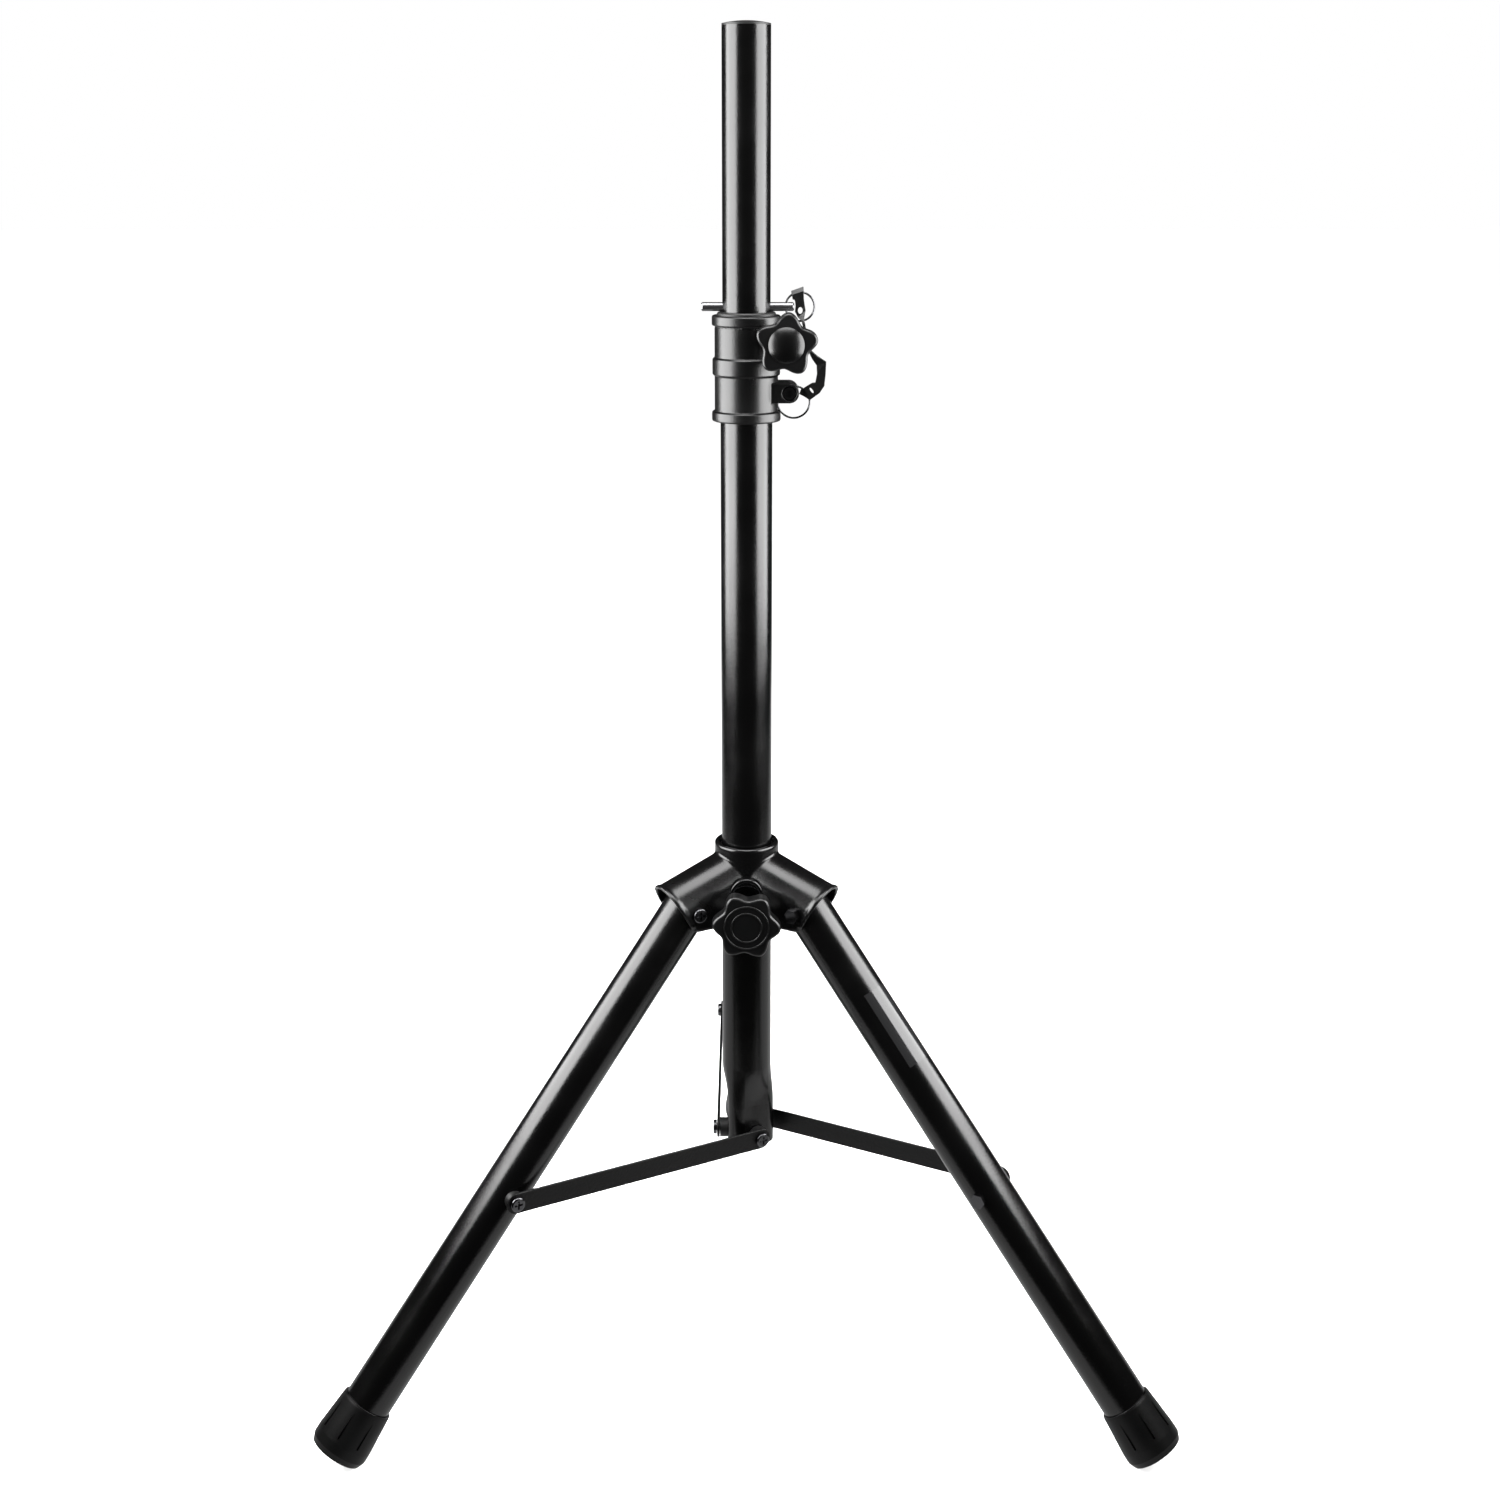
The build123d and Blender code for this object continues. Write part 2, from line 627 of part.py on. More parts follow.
def arm_channel(azimuth, radius, profile, corner_r=0.0):
    """Round-topped bar along a hub arm, kept inside a side profile of (outward, height) points.

    The second point of the profile is its low outer corner, which corner_r rounds.
    """
    with BuildPart() as channel:
        with BuildSketch(arm_plane(azimuth)):
            Circle(radius)
            Rectangle(2 * radius, 90, align=(Align.CENTER, Align.MAX))
        extrude(amount=95)
        with BuildSketch(side_plane(azimuth, 40)) as side:
            with BuildLine():
                Polyline(*profile, close=True)
            make_face()
            if corner_r:
                corner = side.vertices().sort_by_distance((profile[1][0], profile[1][1]))[0]
                fillet(corner, corner_r)
        extrude(amount=80, mode=Mode.INTERSECT)
    return channel


lip_back = ARM_LIP * hypot(1, END_LEAN)
arms = []
hollows = []
for azimuth in LEG_AZIMUTHS.values():
    arms.append(
        arm_channel(
            azimuth,
            ARM_R,
            [
                (0, HUB_BOTTOM_Z),
                (arm_end_r(HUB_BOTTOM_Z), HUB_BOTTOM_Z),
                (arm_end_r(PROFILE_TOP_Z), PROFILE_TOP_Z),
                (0, PROFILE_TOP_Z),
            ],
            ARM_CORNER_R,
        )
    )
    arms.append(
        arm_channel(
            azimuth,
            ARM_R + ARM_LIP_PROUD,
            [
                (arm_end_r(HUB_BOTTOM_Z + ARM_LIP_LOW) - lip_back, HUB_BOTTOM_Z + ARM_LIP_LOW),
                (arm_end_r(HUB_BOTTOM_Z + ARM_LIP_LOW), HUB_BOTTOM_Z + ARM_LIP_LOW),
                (arm_end_r(PROFILE_TOP_Z), PROFILE_TOP_Z),
                (arm_end_r(PROFILE_TOP_Z) - lip_back, PROFILE_TOP_Z),
            ],
        )
    )
    hollows.append(
        arm_channel(
            azimuth,
            ARM_R - ARM_WALL,
            [(0, HUB_BOTTOM_Z - 5), (100, HUB_BOTTOM_Z - 5), (100, PROFILE_TOP_Z), (0, PROFILE_TOP_Z)],
        )
    )

with BuildPart() as hub:
    for arm in arms:
        add(arm.part)
    for hollow in hollows:
        add(hollow.part, mode=Mode.SUBTRACT)
    with BuildSketch(front_plane(0)):
        with Locations((0, BOSS_Z)):
            Circle(BOSS_R)
            Rectangle(2 * BOSS_R, BOSS_Z - HUB_BOTTOM_Z, align=(Align.CENTER, Align.MAX))
    extrude(amount=-BOSS_FRONT_Y)
    with BuildSketch(front_plane(-HUB_RING_R)):
        with Locations((0, BOSS_Z)):
            Circle(BOSS_R - BOSS_WALL)
            Rectangle(2 * (BOSS_R - BOSS_WALL), 40, align=(Align.CENTER, Align.MAX))
    extrude(amount=-BOSS_FRONT_Y, mode=Mode.SUBTRACT)
    with BuildSketch(Plane.XY.offset(HUB_BOTTOM_Z)):
        Circle(HUB_RING_R)
    extrude(amount=HUB_TOP_Z - HUB_BOTTOM_Z)
    fillet(hub.edges().filter_by(GeomType.CIRCLE).sort_by(Axis.Z)[-1], HUB_EDGE_R)
    with BuildSketch(Plane.XY.offset(HUB_BOTTOM_Z)):
        Circle(HUB_BORE_R)
    extrude(amount=PROFILE_TOP_Z - HUB_BOTTOM_Z, mode=Mode.SUBTRACT)
    with BuildSketch(Plane.XY.offset(HUB_BOTTOM_Z)):
        Circle(ARM_END_TOP[0])
    extrude(amount=BOSS_Z - BOSS_R - HUB_BOTTOM_Z, mode=Mode.SUBTRACT)
    for azimuth in LEG_AZIMUTHS.values():
        with BuildSketch(side_plane(azimuth, ARM_R + 2, PIVOT_R, PIVOT_Z)):
            Circle(M6_R + RUN)
        extrude(amount=2 * ARM_R + 4, mode=Mode.SUBTRACT)
    with BuildSketch(front_plane(0)):
        with Locations((0, HUB_KNOB_Z)):
            Circle(M8_R + 1)
    extrude(amount=-BOSS_FRONT_Y + 2, mode=Mode.SUBTRACT)
finish(hub, "hub_shell")

with BuildPart() as hub_bush:
    with BuildSketch(Plane.XY.offset(HUB_BOTTOM_Z)):
        Circle(HUB_BORE_R)
        Circle(HUB_BUSH_R, mode=Mode.SUBTRACT)
    extrude(amount=HUB_TOP_Z - HUB_BOTTOM_Z - HUB_BUSH_RECESS)
    with BuildSketch(front_plane(0)):
        with Locations((0, HUB_KNOB_Z)):
            Circle(M8_R + 0.5)
    extrude(amount=HUB_RING_R, mode=Mode.SUBTRACT)
finish(hub_bush, "hub_bush")

finish(rod(front_plane(SHOE_BACK_Y, 0, HUB_KNOB_Z), SHOE_R, SHOE_THICK), "clamp_shoe")
weld_nut = hex_nut(front_plane(-HUB_RING_R, 0, HUB_KNOB_Z), M8_NUT_FLATS, M8_R + RUN, WELD_NUT_THICK)
finish(weld_nut, "hub_weld_nut")

pivot_bolts = []
pivot_nuts = []
for azimuth in LEG_AZIMUTHS.values():
    head_seat = back_of(side_plane(azimuth, ARM_R, PIVOT_R, PIVOT_Z))
    pivot_bolts.append(pan_screw(head_seat, M6_R, 2 * ARM_R + PIVOT_NUT_THICK))
    nut_seat = side_plane(azimuth, -ARM_R, PIVOT_R, PIVOT_Z)
    pivot_nuts.append(hex_nut(nut_seat, PIVOT_NUT_FLATS, M6_R, PIVOT_NUT_THICK))
finish(grouped(pivot_bolts), "leg_pivot_bolts")
finish(grouped(pivot_nuts), "leg_pivot_nuts")

# ---- legs and braces ----------------------------------------------------------------------------
for name, azimuth in LEG_AZIMUTHS.items():
    with BuildPart() as leg:
        with BuildSketch(leg_plane(azimuth, LEG_PIVOT - LEG_HEAD)):
            Circle(LEG_R)
            Circle(LEG_IN_R, mode=Mode.SUBTRACT)
        extrude(amount=LEG_END - FOOT_SOLE_THICK - LEG_PIVOT + LEG_HEAD)
        with BuildSketch(side_plane(azimuth, LEG_R + 2)):
            with Locations((PIVOT_R, PIVOT_Z), (BRACE_REACH, BRACE_TOP_Z)):
                Circle(M6_R + RUN)
        extrude(amount=2 * LEG_R + 4, mode=Mode.SUBTRACT)
    finish(leg, f"leg_tube_{name}")

    foot_top = LEG_END - FOOT_LENGTH
    foot = turned(
        leg_plane(azimuth, foot_top),
        [
            (LEG_R, 0),
            (FOOT_TOP_R, 0),
            (FOOT_TOP_R + FOOT_LIP, 5 * FOOT_LIP),
            (FOOT_BELLY_R, FOOT_LENGTH * FOOT_BELLY_AT),
            (FOOT_BELLY_R, FOOT_LENGTH - SOLE_EDGE),
            (SOLE_R, FOOT_LENGTH),
            (0, FOOT_LENGTH),
            (0, FOOT_LENGTH - FOOT_SOLE_THICK),
            (LEG_R, FOOT_LENGTH - FOOT_SOLE_THICK),
        ],
    )
    with BuildPart() as grooved_foot:
        add(foot.part)
        with BuildSketch(leg_plane(azimuth, foot_top + GROOVE_START)):
            with PolarLocations(GROOVE_MIDDLE_R, FOOT_GROOVES):
                Rectangle(2 * GROOVE_WIDTH, GROOVE_WIDTH)
        extrude(amount=GROOVE_LENGTH, mode=Mode.SUBTRACT)
    finish(grooved_foot, f"foot_{name}")

    bolt_side = BRACE_SIDE - GAP
    bolt_plane = side_plane(azimuth, bolt_side, BRACE_REACH, BRACE_TOP_Z)
    finish(rod(bolt_plane, M6_R, bolt_side + LEG_R + BOLT_OVER), f"leg_brace_bolt_{name}")
    leg_surface = side_plane(azimuth, -LEG_R, BRACE_REACH, BRACE_TOP_Z)
    finish(hex_nut(leg_surface, PIVOT_NUT_FLATS, M6_R, BOLT_OVER), f"leg_brace_nut_{name}")
    with BuildPart() as saddle:
        with BuildSketch(bolt_plane):
            Circle(SADDLE_R)
            Circle(M6_R + RUN, mode=Mode.SUBTRACT)
        extrude(amount=bolt_side - LEG_R * 0.9)
        with BuildSketch(leg_plane(azimuth, LEG_PIVOT)):
            Circle(LEG_R)
        extrude(amount=BRACE_TOP_ALONG, mode=Mode.SUBTRACT)
    finish(saddle, f"leg_saddle_{name}")

    with BuildPart() as brace:
        with BuildSketch(side_plane(azimuth, BRACE_OUTSIDE, 0, BRACE_BOTTOM_Z, BRACE_RISE)):
            with Locations((BRACE_LENGTH / 2, 0)):
                SlotCenterToCenter(BRACE_LENGTH, BRACE_WIDTH)
            with Locations((0, 0), (BRACE_LENGTH, 0)):
                Circle(M6_R + RUN, mode=Mode.SUBTRACT)
        extrude(amount=BRACE_THICK)
        flats = brace.faces().filter_by(Plane(origin=(0, 0, 0), z_dir=sideways(azimuth)))
        chamfer(flats.edges(), BRACE_CHAMFER)
    finish(brace, f"brace_{name}")
    head_seat = back_of(side_plane(azimuth, BRACE_OUTSIDE, BRACE_REACH, BRACE_TOP_Z))
    finish(pan_screw(head_seat, M6_R, BRACE_THICK), f"brace_bolt_head_{name}")


# ---- knobs --------------------------------------------------------------------------------------
def star_points(valley_r, tip_r, lobes, start):
    """Points of a wavy outline: a tip, a flank, a valley and a flank for each lobe."""
    middle_r = (valley_r + tip_r) / 2
    points = []
    for lobe in range(lobes):
        for quarter, radius in enumerate((tip_r, middle_r, valley_r, middle_r)):
            angle = radians(start + 360 / lobes * (lobe + quarter / 4))
            points.append((radius * cos(angle), radius * sin(angle)))
    return points


def star_knob(x, z, back_y, front_y, outline, neck_r, neck_y, screw_r):
    """Star knob that faces the front, with a round neck behind it and a blind hole for its screw."""
    with BuildPart() as knob:
        with BuildSketch(front_plane(back_y, x, z)):
            with BuildLine():
                Spline(*outline, periodic=True)
            make_face()
        extrude(amount=back_y - front_y)
        fillet(knob.faces().sort_by(Axis.Y)[0].edges(), KNOB_FRONT_EDGE)
        fillet(knob.faces().sort_by(Axis.Y)[-1].edges(), KNOB_BACK_EDGE)
        with BuildSketch(front_plane(neck_y, x, z)):
            Circle(neck_r)
        extrude(amount=neck_y - back_y)
        with BuildSketch(front_plane(neck_y, x, z)):
            Circle(screw_r)
        extrude(amount=(neck_y - front_y) * SCREW_DEPTH, mode=Mode.SUBTRACT)
    return knob


hub_knob = star_knob(
    0,
    HUB_KNOB_Z,
    HUB_KNOB_BACK_Y,
    HUB_KNOB_FRONT_Y,
    star_points(HUB_KNOB_VALLEY_R, HUB_KNOB_TIP_R, HUB_KNOB_LOBES, HUB_KNOB_TURNED),
    HUB_KNOB_NECK_R,
    HUB_KNOB_NECK_Y,
    M8_R,
)
with BuildPart() as hub_knob_face:
    add(hub_knob.part)
    with BuildSketch(front_plane(HUB_KNOB_FRONT_Y, 0, HUB_KNOB_Z)):
        for ridge_r in HUB_KNOB_RIDGES:
            Circle(ridge_r + RIDGE_HALF)
            Circle(ridge_r - RIDGE_HALF, mode=Mode.SUBTRACT)
    extrude(amount=RIDGE_HALF)
finish(hub_knob_face, "hub_knob_body")
SCREW_TIP_Y = SHOE_BACK_Y - SHOE_THICK - GAP
hub_screw_length = SCREW_TIP_Y - HUB_KNOB_NECK_Y + (HUB_KNOB_NECK_Y - HUB_KNOB_FRONT_Y) * SCREW_DEPTH
hub_screw = rod(front_plane(SCREW_TIP_Y, 0, HUB_KNOB_Z), M8_R, hub_screw_length)
finish(hub_screw, "hub_knob_screw")
washer_y = HUB_KNOB_NECK_Y + WASHER_THICK + GAP
hub_washer = ring(front_plane(washer_y, 0, HUB_KNOB_Z), WASHER_R, M8_R + RUN, WASHER_THICK)
finish(hub_washer, "hub_knob_washer")

clamp_knob = star_knob(
    UPPER_EAR_X,
    UPPER_EAR_Z,
    CLAMP_KNOB_BACK_Y,
    CLAMP_KNOB_FRONT_Y,
    star_points(CLAMP_KNOB_VALLEY_R, CLAMP_KNOB_TIP_R, CLAMP_KNOB_LOBES, CLAMP_KNOB_TURNED),
    CLAMP_KNOB_NECK_R,
    CLAMP_KNOB_NECK_Y,
    M8_R,
)
finish(clamp_knob, "clamp_knob_body")
dome_half, dome_drop = dome_middle(DOME_R, DOME_RISE - DOME_EDGE)
with BuildPart() as dome:
    with BuildSketch(Plane(origin=(UPPER_EAR_X, CLAMP_KNOB_FRONT_Y, UPPER_EAR_Z), z_dir=(0, 0, 1))):
        with BuildLine():
            Line((0, 0), (DOME_R, 0))
            Line((DOME_R, 0), (DOME_R, -DOME_EDGE))
            ThreePointArc((DOME_R, -DOME_EDGE), (dome_half, dome_drop - DOME_RISE), (0, -DOME_RISE))
            Line((0, -DOME_RISE), (0, 0))
        make_face()
    revolve(axis=Axis((UPPER_EAR_X, 0, UPPER_EAR_Z), (0, 1, 0)))
finish(dome, "clamp_knob_cap")
CLAMP_SCREW_TIP_Y = -EAR_FRONT_Y + CLAMP_SCREW_PROUD
clamp_screw_length = (
    CLAMP_SCREW_TIP_Y
    - CLAMP_KNOB_NECK_Y
    + (CLAMP_KNOB_NECK_Y - CLAMP_KNOB_FRONT_Y) * SCREW_DEPTH
)
clamp_screw = rod(front_plane(CLAMP_SCREW_TIP_Y, UPPER_EAR_X, UPPER_EAR_Z), M8_R, clamp_screw_length)
finish(clamp_screw, "clamp_knob_screw")
washer_y = CLAMP_KNOB_NECK_Y + WASHER_THICK + GAP
clamp_washer = ring(front_plane(washer_y, UPPER_EAR_X, UPPER_EAR_Z), WASHER_R, M8_R + RUN, WASHER_THICK)
finish(clamp_washer, "clamp_knob_washer")
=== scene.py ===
# %% [markdown]
# # A folding loudspeaker tripod
# A tripod stand carries a loudspeaker on a 35 mm mast. The mast slides in a wider pole, a collar
# pinches it, a chrome pin backs the collar up, and three braced legs fold against the pole when
# the hub slides up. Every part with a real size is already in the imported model, so this lesson
# brings that model in, gives each surface its finish, and models by hand the pieces whose soft
# edges and folds a plain engineering solid does not have.

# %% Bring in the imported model
import json
from math import atan2, cos, pi, radians, sin

import bpy
from mathutils import Matrix, Vector

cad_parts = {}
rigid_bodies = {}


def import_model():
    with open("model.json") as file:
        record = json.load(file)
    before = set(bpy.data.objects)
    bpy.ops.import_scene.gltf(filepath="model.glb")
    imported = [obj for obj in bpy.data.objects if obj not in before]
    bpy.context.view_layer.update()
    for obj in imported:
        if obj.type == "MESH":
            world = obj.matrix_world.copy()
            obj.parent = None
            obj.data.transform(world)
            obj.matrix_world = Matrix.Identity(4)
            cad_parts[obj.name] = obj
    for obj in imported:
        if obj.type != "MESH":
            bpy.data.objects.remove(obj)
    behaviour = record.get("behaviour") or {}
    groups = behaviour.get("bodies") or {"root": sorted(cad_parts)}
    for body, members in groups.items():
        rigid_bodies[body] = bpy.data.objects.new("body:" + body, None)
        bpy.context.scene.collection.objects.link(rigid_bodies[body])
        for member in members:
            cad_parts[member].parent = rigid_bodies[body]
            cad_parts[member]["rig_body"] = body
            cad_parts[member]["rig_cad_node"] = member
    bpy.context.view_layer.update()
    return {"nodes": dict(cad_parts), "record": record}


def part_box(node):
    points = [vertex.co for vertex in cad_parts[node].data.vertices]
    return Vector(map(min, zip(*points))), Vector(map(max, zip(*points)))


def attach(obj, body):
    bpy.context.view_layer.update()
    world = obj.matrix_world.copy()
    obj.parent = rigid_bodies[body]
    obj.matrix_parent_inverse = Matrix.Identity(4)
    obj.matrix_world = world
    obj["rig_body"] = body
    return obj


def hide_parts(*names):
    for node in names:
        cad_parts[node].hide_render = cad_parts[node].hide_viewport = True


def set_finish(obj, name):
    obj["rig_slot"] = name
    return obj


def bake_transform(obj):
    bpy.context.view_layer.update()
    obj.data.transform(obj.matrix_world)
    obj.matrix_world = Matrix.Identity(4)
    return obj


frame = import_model()
nodes = frame["nodes"]

# %% [markdown]
# Lengths are in metres, and the pole's axis is the line x = 0, y = 0. The front of the stand, where
# the hub's knob is, looks along -Y. Most places are read from the boxes of the nodes, so that
# a piece stays right if the engineering model changes.

# %% Short names used all through
MM = 0.001
LEGS = {"left": radians(210), "right": radians(330), "rear": radians(90)}


def centre_of(node):
    """The middle of a node's box."""
    low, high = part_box(node)
    return (low + high) / 2


# %% [markdown]
# ## Shared effects
# Powder coat, moulded plastic and rubber all need the same three things: a fine grain that breaks
# up the highlight, slow patches where the surface is a little duller, and a trace of dust on what
# faces up. Painting them by hand would need a map for each of fifty pieces. A node group with
# named sockets does it once, and each material sets its own scale and strength.


# %% A helper that builds node trees
def add_node(tree, kind, place, **settings):
    node = tree.nodes.new("ShaderNode" + kind)
    node.location = place
    for name, value in settings.items():
        setattr(node, name, value)
    return node


def new_group(name, inputs, outputs):
    """A shader group with sockets only: inputs are (kind, name, default), outputs (kind, name)."""
    group = bpy.data.node_groups.new(name, "ShaderNodeTree")
    for kind, label, default in inputs:
        socket = group.interface.new_socket(label, in_out="INPUT", socket_type="NodeSocket" + kind)
        if default is not None:
            socket.default_value = default
    for kind, label in outputs:
        group.interface.new_socket(label, in_out="OUTPUT", socket_type="NodeSocket" + kind)
    entry = group.nodes.new("NodeGroupInput")
    entry.location = (-900, 0)
    leave = group.nodes.new("NodeGroupOutput")
    leave.location = (600, 0)
    return group, entry, leave


# %% Grain: the orange peel of a coat, or the spark texture of a mould
def make_grain_group():
    group, entry, leave = new_group(
        "fine_grain",
        [("Vector", "Vector", None), ("Float", "Scale", 900.0), ("Float", "Fine Share", 0.35)],
        [("Float", "Height"), ("Float", "Mask")],
    )
    broad = add_node(group, "TexNoise", (-600, 150))
    broad.inputs["Detail"].default_value = 2.0
    fine_scale = add_node(group, "Math", (-700, -150), operation="MULTIPLY")
    fine_scale.inputs[1].default_value = 2.7
    fine = add_node(group, "TexNoise", (-500, -150))
    fine.inputs["Detail"].default_value = 1.0
    both = add_node(group, "Mix", (-200, 50), data_type="FLOAT")
    mask = add_node(group, "MapRange", (100, -150))
    mask.inputs["From Min"].default_value = 0.35
    mask.inputs["From Max"].default_value = 0.65
    link = group.links.new
    link(entry.outputs["Vector"], broad.inputs["Vector"])
    link(entry.outputs["Scale"], broad.inputs["Scale"])
    link(entry.outputs["Scale"], fine_scale.inputs[0])
    link(entry.outputs["Vector"], fine.inputs["Vector"])
    link(fine_scale.outputs[0], fine.inputs["Scale"])
    link(entry.outputs["Fine Share"], both.inputs["Factor"])
    link(broad.outputs["Fac"], both.inputs["A"])
    link(fine.outputs["Fac"], both.inputs["B"])
    link(both.outputs["Result"], leave.inputs["Height"])
    link(both.outputs["Result"], mask.inputs["Value"])
    link(mask.outputs["Result"], leave.inputs["Mask"])
    return group


GRAIN = make_grain_group()
print("made group", GRAIN.name)


# %% Patches and dust: slow changes of gloss, and a little grey on what faces up
def make_patch_group():
    group, entry, leave = new_group(
        "patches_and_dust",
        [
            ("Vector", "Vector", None),
            ("Vector", "Facing", None),
            ("Float", "Scale", 25.0),
            ("Color", "Color", (0.002, 0.002, 0.002, 1)),
            ("Color", "Dust Color", (0.03, 0.029, 0.028, 1)),
            ("Float", "Dust", 0.08),
            ("Float", "Roughness", 0.35),
            ("Float", "Roughness Spread", 0.06),
        ],
        [("Color", "Color"), ("Float", "Roughness")],
    )
    slow = add_node(group, "TexNoise", (-700, 200))
    slow.inputs["Detail"].default_value = 3.0
    spread = add_node(group, "MapRange", (-450, 200))
    spread.inputs["From Min"].default_value = 0.3
    spread.inputs["From Max"].default_value = 0.7
    spread.inputs["To Min"].default_value = -1.0
    change = add_node(group, "Math", (-200, 200), operation="MULTIPLY")
    rough = add_node(group, "Math", (0, 200), operation="ADD", use_clamp=True)
    split = add_node(group, "SeparateXYZ", (-700, -300))
    facing = add_node(group, "MapRange", (-450, -300))
    facing.inputs["From Min"].default_value = 0.3
    facing.inputs["From Max"].default_value = 1.0
    speck = add_node(group, "TexNoise", (-700, -550))
    speck.inputs["Scale"].default_value = 420.0
    speck.inputs["Detail"].default_value = 4.0
    speck_cut = add_node(group, "MapRange", (-450, -550))
    speck_cut.inputs["From Min"].default_value = 0.45
    speck_cut.inputs["From Max"].default_value = 0.75
    settle = add_node(group, "Math", (-200, -400), operation="MULTIPLY")
    amount = add_node(group, "Math", (0, -400), operation="MULTIPLY", use_clamp=True)
    tint = add_node(group, "Mix", (250, -200), data_type="RGBA")
    link = group.links.new
    link(entry.outputs["Vector"], slow.inputs["Vector"])
    link(entry.outputs["Scale"], slow.inputs["Scale"])
    link(slow.outputs["Fac"], spread.inputs["Value"])
    link(spread.outputs["Result"], change.inputs[0])
    link(entry.outputs["Roughness Spread"], change.inputs[1])
    link(change.outputs[0], rough.inputs[0])
    link(entry.outputs["Roughness"], rough.inputs[1])
    link(rough.outputs[0], leave.inputs["Roughness"])
    link(entry.outputs["Facing"], split.inputs[0])
    link(split.outputs["Z"], facing.inputs["Value"])
    link(entry.outputs["Vector"], speck.inputs["Vector"])
    link(speck.outputs["Fac"], speck_cut.inputs["Value"])
    link(facing.outputs["Result"], settle.inputs[0])
    link(speck_cut.outputs["Result"], settle.inputs[1])
    link(settle.outputs[0], amount.inputs[0])
    link(entry.outputs["Dust"], amount.inputs[1])
    link(amount.outputs[0], tint.inputs["Factor"])
    link(entry.outputs["Color"], tint.inputs["A"])
    link(entry.outputs["Dust Color"], tint.inputs["B"])
    link(tint.outputs["Result"], leave.inputs["Color"])
    return group


PATCHES = make_patch_group()
print("made group", PATCHES.name)


# %% [markdown]
# A material then needs one Principled shader, the two groups and a Bump node. What is the same all
# over a surface, such as its metalness or its specular level, is set on the shader itself.


# %% The recipe that every finish starts from
def make_finish(name, color, rough, metallic=0.0, grain=(900.0, 0.35), bump=(0.1, 0.02), spread=0.05,
                dust=0.06, patch_scale=25.0, specular=0.5):
    """grain is (scale, share of the fine noise) and bump is (strength, depth in millimetres)."""
    material = bpy.data.materials.new(name)
    material.use_nodes = True
    tree = material.node_tree
    shader = tree.nodes["Principled BSDF"]
    shader.inputs["Base Color"].default_value = (*color, 1)
    shader.inputs["Metallic"].default_value = metallic
    shader.inputs["Specular IOR Level"].default_value = specular
    place = add_node(tree, "TexCoord", (-1000, 0))
    patches = add_node(tree, "Group", (-600, 150), node_tree=PATCHES)
    patches.inputs["Scale"].default_value = patch_scale
    patches.inputs["Color"].default_value = (*color, 1)
    patches.inputs["Dust"].default_value = dust
    patches.inputs["Roughness"].default_value = rough
    patches.inputs["Roughness Spread"].default_value = spread
    texture = add_node(tree, "Group", (-600, -250), node_tree=GRAIN)
    texture.inputs["Scale"].default_value = grain[0]
    texture.inputs["Fine Share"].default_value = grain[1]
    relief = add_node(tree, "Bump", (-300, -250))
    relief.inputs["Strength"].default_value = bump[0]
    relief.inputs["Distance"].default_value = bump[1] * MM
    link = tree.links.new
    link(place.outputs["Object"], patches.inputs["Vector"])
    link(place.outputs["Normal"], patches.inputs["Facing"])
    link(place.outputs["Object"], texture.inputs["Vector"])
    if dust:
        link(patches.outputs["Color"], shader.inputs["Base Color"])
    link(patches.outputs["Roughness"], shader.inputs["Roughness"])
    link(texture.outputs["Height"], relief.inputs["Height"])
    link(relief.outputs["Normal"], shader.inputs["Normal"])
    return material


# %% The finishes
FINISHES = {
    "powder_coat": make_finish("powder_coat", (0.001, 0.001, 0.00105), 0.2, bump=(1.0, 0.1)),
    "hub_coat": make_finish("hub_coat", (0.001, 0.001, 0.00105), 0.24, bump=(0.9, 0.06)),
    "collar_coat": make_finish("collar_coat", (0.001, 0.001, 0.00105), 0.31, bump=(1.0, 0.12)),
    "brace_coat": make_finish(
        "brace_coat", (0.0012, 0.0012, 0.0013), 0.4, grain=(700.0, 0.3), bump=(1.0, 0.4), specular=0.3,
    ),
    "chrome": make_finish("chrome", (0.2, 0.2, 0.205), 0.34, metallic=1.0, bump=(0.03, 0.01), dust=0.0),
    "ring_wire": make_finish(
        "ring_wire", (0.13, 0.13, 0.135), 0.25, metallic=1.0, bump=(0.1, 0.01), dust=0.0,
    ),
    "rubber": make_finish("rubber", (0.001, 0.001, 0.001), 0.45, bump=(0.6, 0.08), specular=0.2),
    "strap_plastic": make_finish("strap_plastic", (0.0015, 0.0015, 0.0016), 0.36, bump=(0.3, 0.04)),
    "knob_plastic": make_finish("knob_plastic", (0.001, 0.001, 0.0011), 0.34, bump=(0.35, 0.04)),
    "cap_gloss": make_finish("cap_gloss", (0.001, 0.001, 0.001), 0.24, bump=(0.05, 0.01)),
    "bush_plastic": make_finish("bush_plastic", (0.003, 0.003, 0.003), 0.5, bump=(0.3, 0.05)),
    "brass": make_finish("brass", (0.6, 0.42, 0.15), 0.35, metallic=1.0, bump=(0.1, 0.02), dust=0.0),
    "zinc_steel": make_finish(
        "zinc_steel", (0.4, 0.41, 0.43), 0.3, metallic=1.0, bump=(0.1, 0.02), dust=0.0,
    ),
    "black_bolt": make_finish(
        "black_bolt", (0.1, 0.1, 0.105), 0.2, metallic=1.0, bump=(0.1, 0.02), dust=0.0,
    ),
    "label_film": make_finish(
        "label_film", (0.014, 0.014, 0.0145), 0.13, bump=(0.05, 0.01), patch_scale=60.0,
    ),
}
slot_of = {row["node"]: row["material_slot"] for row in frame["record"]["subparts"]}
